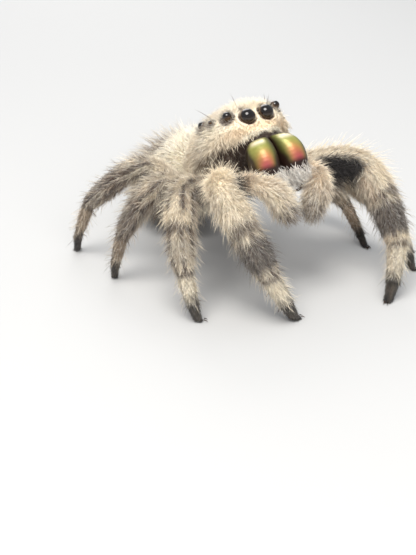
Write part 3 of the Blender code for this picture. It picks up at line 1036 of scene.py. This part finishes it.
def longStyle(where):
    colour, style = markings(where), coatStyle(where, longShape)
    # hairs on the darkest patches keep their colour
    light = byKind(where, longShape["paleTips"]) * smooth(colour.mean(1), 0.02, 0.30)
    behind = np.where(where["onAbdomen"], smooth(where["abdomen"][:, 1], 0.9, 1.8), 1)
    dark, band = darkKnee(where, colour), paleBand(where)
    length = style["length"] + longShape["darkMore"] * dark - longShape["bandTrim"] * band
    knee = longShape["kneeMore"] * kneeTuft(where)
    style["length"] = length * outerTrim(where, longShape["outerTrim"]) + knee
    style["lift"] = style["lift"] - longShape["bandFlat"] * band
    return {**style, "rootColour": toned(colour, "brown", byKind(where, longShape["darkRoots"]) * behind),
            "tipColour": toned(colour, "pale", light)}


temple = smooth(np.abs(skinWhere["head"][:, 0]), 0.8, 1.4) * skinWhere["onHead"]
perArea = byKind(skinWhere, longShape["perArea"]) * (1 - 0.8 * skinFace * (1 - temple))
perArea = perArea + longShape["temples"] * temple + longShape["darkFemur"] * darkKnee(skinWhere, skinColour)
perArea = perArea * np.where(skinWhere["onHead"], smooth(skinWhere["eyeGap"], 0.25, 0.52), 1)
longs = grow(perArea, longStyle)
report(f"{longs} long hairs")


# Eyes

eyeShape = {
    "rounds": 64, "frontSteps": 16, "backSteps": 8, "firstDeg": 4, "backDeg": 70,
    "bulge": 1.02, "crown": 1.022,  # how far each lens stands proud of a true ball
    "lensGlow": 2.6,  # painted glow low in each lens, this much in the side eyes, beside 1 in the front middle ones
    "rim": 0.10,  # of the radius, over which the edge grows warmer
    "pupil": (0.006, 0.005, 0.006), "lens": (0.006, 0.005, 0.005), "behind": (0.05, 0.03, 0.02),
    "rimTone": (0.05, 0.025, 0.01), "lensGlowTone": (0.02, 0.008, 0.0),
}
eyeAim = {  # direction of each eye on the left side: left, forward, up
    "front_middle": (0.10, 1.0, 0.02), "front_side": (0.55, 0.84, 0.10),
    "rear_middle": (0.85, 0.15, 0.50), "rear_side": (0.92, -0.15, 0.38),
}
eyeLook = {
    "grain": 9000, "detail": 2, "variation": 0.3,
    "gloss": {"Roughness": 0.10, "Specular IOR Level": 0.35, "Coat Weight": 0.45, "Coat Roughness": 0.03},
}


def eyeMesh(ball):
    left, forward, up = eyeAim[ball["eye"]]
    sign = 1 if ball["side"] == "left" else -1
    axis = unit(np.array([left * sign, forward, up]) @ headTurn)
    side = unit(np.cross(axis, headTurn[2]))
    over = np.cross(side, axis)
    centre, r, rounds = ball["centre"], ball["radius"], eyeShape["rounds"]
    lensGlow = 1.0 if ball["eye"] == "front_middle" else eyeShape["lensGlow"]
    profile = []  # distance from the axis, and height along it
    for k in range(eyeShape["frontSteps"] + 1):
        a = math.radians(eyeShape["firstDeg"] + (90 - eyeShape["firstDeg"]) * k / eyeShape["frontSteps"])
        profile.append((r * math.sin(a), r * math.cos(a) * eyeShape["bulge"]))
    for k in range(1, eyeShape["backSteps"] + 1):
        a = math.radians(90 + eyeShape["backDeg"] * k / eyeShape["backSteps"])
        profile.append((r * math.sin(a), r * math.cos(a)))
    points = [centre + axis * r * eyeShape["crown"]]
    lens, rimTone, lensGlowTone = (np.array(eyeShape[key]) for key in ("lens", "rimTone", "lensGlowTone"))
    rim, colours = eyeShape["rim"], [eyeShape["pupil"]]
    for out, height in profile:
        points += ringPoints(centre + axis * height, side, over, out, rounds)
        edge = held((out / r - (1 - rim)) / rim)
        for k in range(rounds):
            # a painted glow in the lower part of each lens
            low = lensGlow * max(0.0, -math.sin(2 * math.pi * k / rounds)) * out / r
            colours.append(lens + (rimTone * edge + lensGlowTone * low))
    points.append(centre - axis * r)
    colours.append(eyeShape["behind"])
    last = len(points) - 1
    faces = [[0, a, b] for a, b in ringPairs(1, rounds)]
    faces += [[a, d, c, b] for a, b, c, d in tubeFaces(1, len(profile), rounds)]
    faces += [[last, b, a] for a, b in ringPairs(last - rounds, rounds)]
    mesh = closedMesh(ball["name"], points, faces)
    paint(mesh, np.array(colours))
    return mesh


eyeFinish = tintMaterial("eye_glass", eyeLook)
for ball in eyeBalls:
    addPiece(ball["name"] + "_lens", eyeMesh(ball), eyeFinish, [ball["name"]])
report("eyes")


# Jaws: smooth curves through the part's own solids

jawShape = {
    "rows": 64, "rounds": 72,
    "topRound": 0.05, "footRound": 0.16,  # mm over which the ends are rounded
    "crowding": 1.25,  # rows stand closer together towards the top
    "levelSlack": 0.015, "levelStep": 0.05, "fewest": 8,  # what counts as a ring of the solid's own points
    "ripple": 0.002, "ripplePace": 34, "cap": 0.012,
    # pale is the colour of the painted highlight; olive and dark also paint the shade where the jaws meet and
    # on their outer sides
    "pale": (0.66, 0.58, 0.40), "green": (0.26, 0.26, 0.06), "orange": (0.40, 0.15, 0.055),
    "pink": (0.30, 0.052, 0.062), "olive": (0.085, 0.09, 0.02), "dark": (0.020, 0.009, 0.006),
    "sheenTurn": {"left": -18, "right": 19},  # degrees outwards from the front at which each jaw's painted sheen is centred, where one view catches its iridescence
}
jawLook = {"grain": 6000, "detail": 4, "variation": 0.15, "rough": (0.30, 0.48), "relief": (0.3, 0.02),
           "gloss": {"Metallic": 0.3, "Coat Weight": 0.12, "Coat Roughness": 0.22}}


def smoothCurve(knots, values, at):
    # an even curve through the values at the knots
    slopes = np.gradient(values, knots)
    k = np.clip(np.searchsorted(knots, at) - 1, 0, len(knots) - 2)
    run = knots[k + 1] - knots[k]
    t = (at - knots[k]) / run
    return ((1 + 2 * t) * (1 - t) ** 2 * values[k] + t * (1 - t) ** 2 * run * slopes[k]
            + t * t * (3 - 2 * t) * values[k + 1] + t * t * (t - 1) * run * slopes[k + 1])


def jawGrid(side):
    # rings round the jaw from top to foot, with each point's outward turn and its depth below the top
    points = toHead(nodeMesh(f"{side}_chelicera")[0])
    levels, rings = [], []
    for level in np.unique(np.round(points[:, 2], 2))[::-1]:
        ring = points[np.abs(points[:, 2] - level) < jawShape["levelSlack"]][:, :2]
        if len(ring) > jawShape["fewest"] and (not levels or levels[-1] - level > jawShape["levelStep"]):
            levels.append(level)
            low, high = ring.min(0), ring.max(0)
            rings.append([*(low + high) / 2, *(high - low) / 2])
    levels, rings = np.array(levels), np.array(rings)
    down = levels[0] - levels
    rows = jawShape["rows"]
    at = down[-1] * (np.arange(rows) + 0.5) / rows
    at = down[-1] * (at / down[-1]) ** jawShape["crowding"]
    close = 1
    for distance, span in ((at, jawShape["topRound"]), (down[-1] - at, jawShape["footRound"])):
        close = close * np.sqrt(held(1 - held(1 - distance / span) ** 2))
    middleX, middleY, halfX, halfY = (smoothCurve(down, rings[:, k], at) for k in range(4))
    sign = 1 if side == "left" else -1
    turn = 2 * math.pi * np.arange(jawShape["rounds"]) / jawShape["rounds"]
    local = np.empty((rows, len(turn), 3))
    local[..., 0] = middleX[:, None] + sign * (halfX * close)[:, None] * np.sin(turn)
    local[..., 1] = middleY[:, None] + (halfY * close)[:, None] * np.cos(turn)
    local[..., 2] = levels[0] - at[:, None]
    angle = np.degrees(np.arctan2(np.sin(turn), np.cos(turn)))
    return local, np.tile(angle, (rows, 1)), np.tile(at[:, None], (1, len(turn)))


def jawColour(side, turn, down):
    # green, with iridescent orange and pink painted where one view catches them (a painted sheen) and a pale
    # painted highlight near the top; olive to black on the top edge, where the two meet and outside, painted
    # shade; dark at the foot
    apart = turn - jawShape["sheenTurn"][side]
    # painted sheen: orange iridescence centred where one view catches it
    paintedSheen = hump(apart, 2 * down, 14 + 22 * held(down)) * smooth(down, 0.38, 1.02)
    # painted highlight: a pale strip near the top
    paintedHighlight = hump(down, 0.21, 0.12) * smooth(apart, -34, -4) * (1 - smooth(apart, 34, 70))
    # painted shade down the outer side
    paintedShadeOutside = smooth(apart, 22, 64) * smooth(down, 0.40, 1.10) + smooth(apart, 46, 82)
    return layered("green", len(turn), (
        ("orange", paintedSheen),
        ("pink", 0.95 * hump(apart, 10, 30) * smooth(down, 0.82, 1.36)),
        ("pale", held(paintedHighlight)),
        # olive on the top edge and where the jaws meet: painted shade
        ("olive", 1 - smooth(down, 0.02, 0.10)),
        ("olive", smooth(-apart, 10, 42)),
        ("dark", smooth(-apart + 18 * smooth(down, 0.7, 1.3), 32, 62)),
        ("dark", held(paintedShadeOutside) * 0.96),
        ("dark", smooth(down, 1.26, 1.56))), jawShape)


jawFinish = tintMaterial("jaw_metal", jawLook)
jawRoots = {}
for side in sides:
    local, turn, down = jawGrid(side)
    rows, rounds = turn.shape
    points = (local.reshape(-1, 3) @ headTurn) + headOrigin
    ripple = np.sin(down.ravel() * jawShape["ripplePace"] + 2 * cloud(points, 0.5))
    ripple = ripple * smooth(np.cos(np.radians(turn.ravel())), 0.0, 0.5)
    axis = (local.mean(1) @ headTurn + headOrigin).repeat(rounds, 0)
    points = points + unit(points - axis) * (ripple * jawShape["ripple"])[:, None]
    ends = (local[[0, -1]].mean(1) @ headTurn) + headOrigin
    points = np.vstack([points, ends + np.array([[jawShape["cap"]], [-jawShape["cap"]]]) * headTurn[2]])
    top = rows * rounds
    faces = tubeFaces(0, rows, rounds) + [[top, b, a] for a, b in ringPairs(0, rounds)]
    faces += [[top + 1, a, b] for a, b in ringPairs(top - rounds, rounds)]
    mesh = closedMesh(f"{side}_jaw", points, faces)
    turns, downs = np.append(turn.ravel(), [0, 0]), np.append(down.ravel(), [down.min(), down.max()])
    paint(mesh, jawColour(side, turns, downs))
    jawRoots[side] = {"points": points, "normals": normalsOf(mesh), "turn": turns, "down": downs}
    addPiece(f"{side}_jaw", mesh, jawFinish, [f"{side}_chelicera"])


# Fangs and spinnerets: dark horn, smoothed from the part's own solids

hornShape = {"voxel": 0.022, "relaxing": 6}  # mm
hornLook = {"grain": 5000, "detail": 3, "gloss": {"Roughness": 0.22},
            "tones": ((0.3, (0.008, 0.005, 0.004, 1)), (0.75, (0.075, 0.030, 0.014, 1)))}


def hornMaterial(look):
    made, nodes, links, shader = newMaterial("dark_horn", look["gloss"])
    ramp = nodes.new("ShaderNodeValToRGB")
    for stop, (position, colour) in zip(ramp.color_ramp.elements, look["tones"]):
        stop.position, stop.color = position, colour
    links.new(grainNoise(nodes, links, look["grain"], look["detail"]), ramp.inputs["Fac"])
    links.new(ramp.outputs["Color"], shader.inputs["Base Color"])
    return made


def hornMesh(node):
    points, faces = nodeMesh(node)
    mesh = editedMesh(node, [Vector(p) for p in points], faces,
                      lambda work: bmesh.ops.remove_doubles(work, verts=work.verts, dist=0.001))
    mesh = remeshed(mesh, hornShape["voxel"])
    movePoints(mesh, relaxed(*arraysOf(mesh), hornShape["relaxing"]))
    mesh.name = node + "_horn"
    mesh.transform(Matrix.Scale(mm, 4))
    mesh.shade_smooth()
    return mesh


hornFinish = hornMaterial(hornLook)
for node in ("left_fang", "right_fang", "spinnerets"):
    addPiece(node + "_horn", hornMesh(node), hornFinish, [node])
report("jaws, fangs and spinnerets")


# Fringe under the jaws, bristles on the head and spines on the legs

fringeShape = {
    "perJaw": 760, "from": (1.38, 1.95),  # mm below the top of the jaw
    "length": (0.42, 0.45), "width": 0.024, "lift": 26.0, "droop": 25.0, "stray": 0.45, "curl": 0.25,
}
bristleShape = {
    "bristles": 6, "length": (0.65, 0.45), "width": 0.030,
    "spines": 80, "spineLength": 0.36, "spineWidth": 0.042,
    "rootsPerArea": 40.0, "lift": 66.0, "droop": 26.0, "stray": 0.25, "curl": 0.08,
}


def looseStyle(where, shape, length, width):
    count = len(where["point"])
    return {"rings": 3, "stray": shape["stray"], "curl": shape["curl"], "length": length,
            "width": np.zeros(count) + width, "lift": np.full(count, shape["lift"]),
            "droop": np.full(count, shape["droop"])}


def fringeStyle(where):
    count = len(where["point"])
    least, more = fringeShape["length"]
    colour = toned(plain("white", count), "tan", draw.random(count) ** 2 * 0.5)
    style = looseStyle(where, fringeShape, least + more * draw.random(count), fringeShape["width"])
    return {**style, "flow": np.tile(headTurn[1] * 0.5 - headTurn[2], (count, 1)),
            # grey at the roots: painted shade deep among the hairs
            "rootColour": toned(colour, "grey", np.full(count, 0.65)), "tipColour": colour * 0.92}


def jawFringe():
    # pale hairs that hang from the lower half of both jaws
    for side in sides:
        roots = jawRoots[side]
        chance = smooth(roots["down"], *fringeShape["from"]) * (0.35 + smooth(-roots["turn"], -30, 60))
        pick = draw.choice(len(chance), fringeShape["perJaw"], p=chance / chance.sum())
        count = len(pick)
        points = roots["points"][pick] + draw.normal(0, 0.012, (count, 3))
        where = locate(points, np.full(count, sourceNodes.index("cephalothorax")))
        where["normal"] = roots["normals"][pick]
        where["eyeGap"], where["jawGap"], where["eye"] = np.ones(count), np.ones(count), np.zeros(count, int)
        plant(where, fringeStyle, np.full(count, "coat_jaws"))


def bristleStyle(where):
    dark = plain("brown", len(where["point"])) * 0.8
    style = looseStyle(where, bristleShape, where["span"], where["girth"])
    return {**style, "flow": where["flow"], "rootColour": dark, "tipColour": dark * 1.6}


def darkHairs():
    # a few long bristles about the eyes, and short spines under the outer segments of the legs
    where = scatter(np.full(len(skinPoints), bristleShape["rootsPerArea"]))
    forward, up = where["head"].T[1:]
    gap, turned = where["eyeGap"], np.abs(where["angle"])
    brow = where["onHead"] & (up > 0.28) & (forward > -1.5) & (gap < 0.35) & (gap > 0.06)
    spined = where["onLeg"] & np.isin(where["segment"], (2, 3)) & (turned > 0.9) & (turned < 2.6)
    brow, spined = (np.flatnonzero(here)[draw.permutation(here.sum())[:most]]
                    for here, most in ((brow, bristleShape["bristles"]), (spined, bristleShape["spines"])))
    keep = np.concatenate([brow, spined])
    picked = {key: value[keep] for key, value in where.items()}
    onBrow = np.arange(len(keep)) < len(brow)
    least, more = bristleShape["length"]
    picked["span"] = np.where(onBrow, least + more * draw.random(len(keep)), bristleShape["spineLength"])
    picked["girth"] = np.where(onBrow, bristleShape["width"], bristleShape["spineWidth"])
    picked["flow"] = np.where(onBrow[:, None], coatFlow(picked), picked["flow"])
    plant(picked, bristleStyle, pieceOf(picked))


jawFringe()
darkHairs()
report("fringe, bristles and spines")

total = 0
for name in sorted(batches):
    mesh, faces = coatMesh(name, batches[name])
    addPiece(name, mesh, coatFinish)
    total += faces
    report(f"{name}: {faces} triangles")
report(f"coat: {total} triangles in all")


# Claws: two small hooks at the tip of each foot

clawShape = {
    "length": 0.20, "thick": 0.026, "apart": 0.075, "height": 0.13, "tipHeight": 0.02,  # mm
    "bend": 1.15, "rings": 7, "rounds": 8,
    "spread": 0.3, "taper": 0.8, "root": 0.92,  # of the way from the heel to the front of the sole
}


def clawHooks():
    points, faces = [], []
    rings, rounds = clawShape["rings"], clawShape["rounds"]
    for limb in legs:
        ahead = limb["heading"][-1] * [1, 1, 0]
        ahead = unit(ahead + 1e-6)
        aside = np.array([-ahead[1], ahead[0], 0])
        heel = limb["line"][-1]
        tip = heel + ahead * ((soleOf(limb["nodes"][-1]) - heel) @ ahead).max() * clawShape["root"]
        for hand in (-1, 1):
            base = len(points)
            for ring in range(rings):
                share = ring / (rings - 1)
                bend = share * clawShape["bend"]
                middle = tip + aside * hand * clawShape["apart"] * (1 + clawShape["spread"] * share)
                middle = middle + ahead * clawShape["length"] * math.sin(bend) * 0.9
                drop = clawShape["height"] - clawShape["tipHeight"]
                middle[2] = clawShape["height"] - drop * (1 - math.cos(bend * 1.3))
                heading = unit(ahead * math.cos(bend) + np.array([0, 0, -1]) * math.sin(bend))
                over = np.cross(aside, heading)
                thick = clawShape["thick"] * (1 - clawShape["taper"] * share)
                points += ringPoints(middle, aside, over, thick, rounds)
            last = base + (rings - 1) * rounds
            faces += [list(range(base, base + rounds)), *tubeFaces(base, rings, rounds),
                      list(range(last, last + rounds))]
    return points, faces


addPiece("claws", closedMesh("claws", *clawHooks()), hornFinish)
report("claws")


# Stage, light and camera

stageShape = {"floorSize": 6.0, "near": (0.07, 0.46), "far": (0.30, 0.97)}  # metres out, and the tone there
bpy.ops.mesh.primitive_plane_add(size=stageShape["floorSize"], location=(0, 0, 0))
floor = bpy.context.object
floor.name = "floor"
floorFinish, nodes, links, shader = newMaterial("floor", {"Roughness": 0.9, "Specular IOR Level": 0})
# paler far out, where the lamps no longer reach
place = nodes.new("ShaderNodeTexCoord")
reach = nodes.new("ShaderNodeVectorMath")
reach.operation = "LENGTH"
links.new(place.outputs["Object"], reach.inputs[0])
tone = nodes.new("ShaderNodeMapRange")
tone.interpolation_type = "SMOOTHSTEP"
(nearFrom, nearTone), (farFrom, farTone) = stageShape["near"], stageShape["far"]
setSockets(tone, {"From Min": nearFrom, "From Max": farFrom, "To Min": nearTone, "To Max": farTone})
links.new(reach.outputs["Value"], tone.inputs["Value"])
links.new(tone.outputs["Result"], shader.inputs["Base Color"])
floor.data.materials.append(floorFinish)

# place and size in metres, power in watts, colour, and whether glossy surfaces show it
lampShapes = {
    "key": ((-0.042, -0.032, 0.102), 0.07, 0.15, (1.0, 0.97, 0.92), True),
    "sky": ((0.0, 0.0, 0.12), 0.20, 0.07, (0.95, 0.98, 1.0), False),
    "front": ((-0.050, -0.180, 0.090), 0.17, 0.27, (1.0, 0.98, 0.95), False),
    "back": ((0.030, 0.080, 0.060), 0.08, 0.05, (1.0, 0.98, 0.95), True),
}
lampTarget = Vector((0, -0.002, 0.005))
for name, (place, size, power, colour, mirrored) in lampShapes.items():
    lamp = bpy.data.lights.new(name, "AREA")
    lamp.shape = "DISK"
    lamp.size, lamp.energy, lamp.color = size, power, colour
    item = placed(name, lamp)
    item.location = place
    item.rotation_euler = (lampTarget - Vector(place)).to_track_quat("-Z", "Y").to_euler()
    item.visible_glossy = mirrored
world = bpy.data.worlds.new("world")
bpy.context.scene.world = world
world.use_nodes = True
setSockets(world.node_tree.nodes["Background"], {"Color": (0.90, 0.94, 1.0, 1), "Strength": 0.50})
bpy.context.scene.view_settings.view_transform = "Standard"

cameraShape = {
    "place": (-0.02503, -0.03723, 0.02150), "tiltDeg": 63.0, "turnDeg": -32.4,
    "lens": 64.86, "sensor": 36, "clip": (0.001, 10),
}
cameraData = bpy.data.cameras.new("camera")
cameraData.lens, cameraData.sensor_width = cameraShape["lens"], cameraShape["sensor"]
cameraData.clip_start, cameraData.clip_end = cameraShape["clip"]
camera = placed("camera", cameraData)
camera.location = cameraShape["place"]
camera.rotation_euler = (math.radians(cameraShape["tiltDeg"]), 0, math.radians(cameraShape["turnDeg"]))
bpy.context.scene.camera = camera
report("stage, light and camera")
